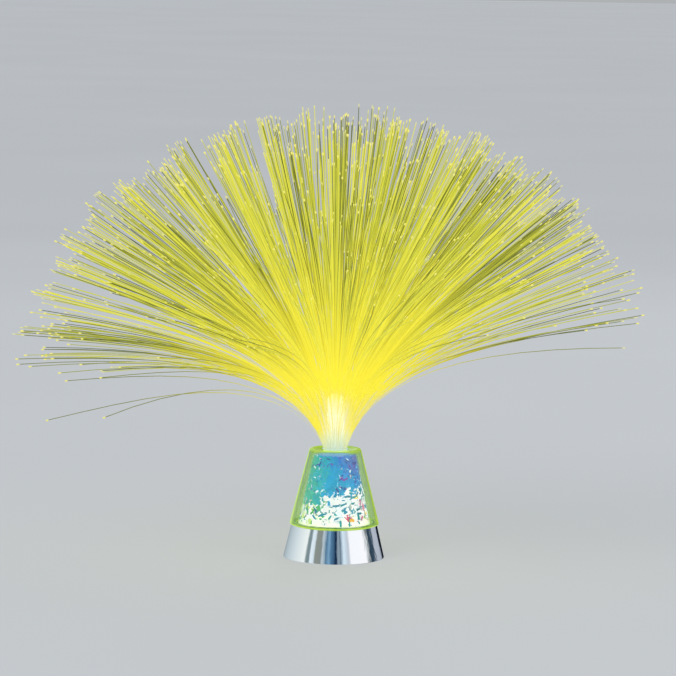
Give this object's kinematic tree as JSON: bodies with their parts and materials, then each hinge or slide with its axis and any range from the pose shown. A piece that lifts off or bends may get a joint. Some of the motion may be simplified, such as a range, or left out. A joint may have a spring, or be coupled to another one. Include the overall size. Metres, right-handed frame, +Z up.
{
  "type": "fiber optic lamp",
  "caption": "Battery table lamp: a chromed conical foot, a clear acrylic body full of iridescent film shreds, and a wide dome of light fibers with glowing tips.",
  "frame": {"origin": "centre of the foot's rim, on the surface that the lamp stands on", "axes": "+Z up along the lamp's axis, -Y towards the front, +X to the right seen from the front"},
  "size_m": [0.5122, 0.4832, 0.3653],
  "materials": {
    "chrome_plating": "mirror bright vacuum chrome on moulded plastic",
    "clear_acrylic": "clear, edge lit yellow green",
    "frosted_acrylic": "frosted",
    "glow_rod": "frosted, lit from below",
    "film": "iridescent",
    "fiber": "clear light guide, lit yellow",
    "potting": "cast",
    "black_abs": "fine texture",
    "switch_black": "satin",
    "zinc_steel": "zinc plated",
    "spring_steel": "nickel plated",
    "cell_jacket": "satin shrink sleeve",
    "board": "solder mask",
    "led": "white case with clear window",
    "chip": "moulded",
    "resistor": "glazed",
    "wire_red": "PVC",
    "wire_black": "PVC"
  },
  "bodies": {
    "lamp": {"chrome_skirt": "chrome_plating", "base_tray": "black_abs", "tray_screws": "zinc_steel", "board_screws": "zinc_steel", "battery_cell_left": "cell_jacket", "battery_cell_middle": "cell_jacket", "battery_cell_right": "cell_jacket", "contact_negative": "spring_steel", "contact_positive": "spring_steel", "contact_bridge_rear": "spring_steel", "contact_bridge_front": "spring_steel", "switch_body": "switch_black", "switch_terminals": "spring_steel", "circuit_board": "board", "center_led": "led", "ring_leds": "led", "driver_chip": "chip", "board_resistors": "resistor", "battery_lead_black": "wire_black", "battery_lead_red": "wire_red", "switch_leads": "wire_black", "crystal_shell": "clear_acrylic", "inner_sleeve": "clear_acrylic", "diffuser_disc": "frosted_acrylic", "film_flakes": "film", "bundle_ferrule": "clear_acrylic", "bundle_plug": "potting", "light_rod": "glow_rod", "fiber_crown": "fiber", "fiber_upper": "fiber", "fiber_middle": "fiber", "fiber_lower": "fiber"},
    "battery_door": {"battery_door": "black_abs"},
    "door_screw_front": {"door_screw_front": "zinc_steel"},
    "door_screw_rear": {"door_screw_rear": "zinc_steel"},
    "switch_knob": {"switch_knob": "switch_black"}
  },
  "joints": [
    {"name": "switch_slide", "type": "slide", "parent": "lamp", "child": "switch_knob", "axis": [0, -1, 0], "range_m": [0, 0.003]},
    {"name": "door_release", "type": "slide", "parent": "lamp", "child": "battery_door", "axis": [0, 0, -1], "range_m": [0, 0.02]},
    {"name": "door_screw_front_turn", "type": "hinge", "parent": "battery_door", "child": "door_screw_front", "pos_m": [0, -0.0314, 0.001], "axis": [0, 0, 1], "continuous": true},
    {"name": "door_screw_rear_turn", "type": "hinge", "parent": "battery_door", "child": "door_screw_rear", "pos_m": [0, 0.0314, 0.001], "axis": [0, 0, 1], "continuous": true}
  ]
}
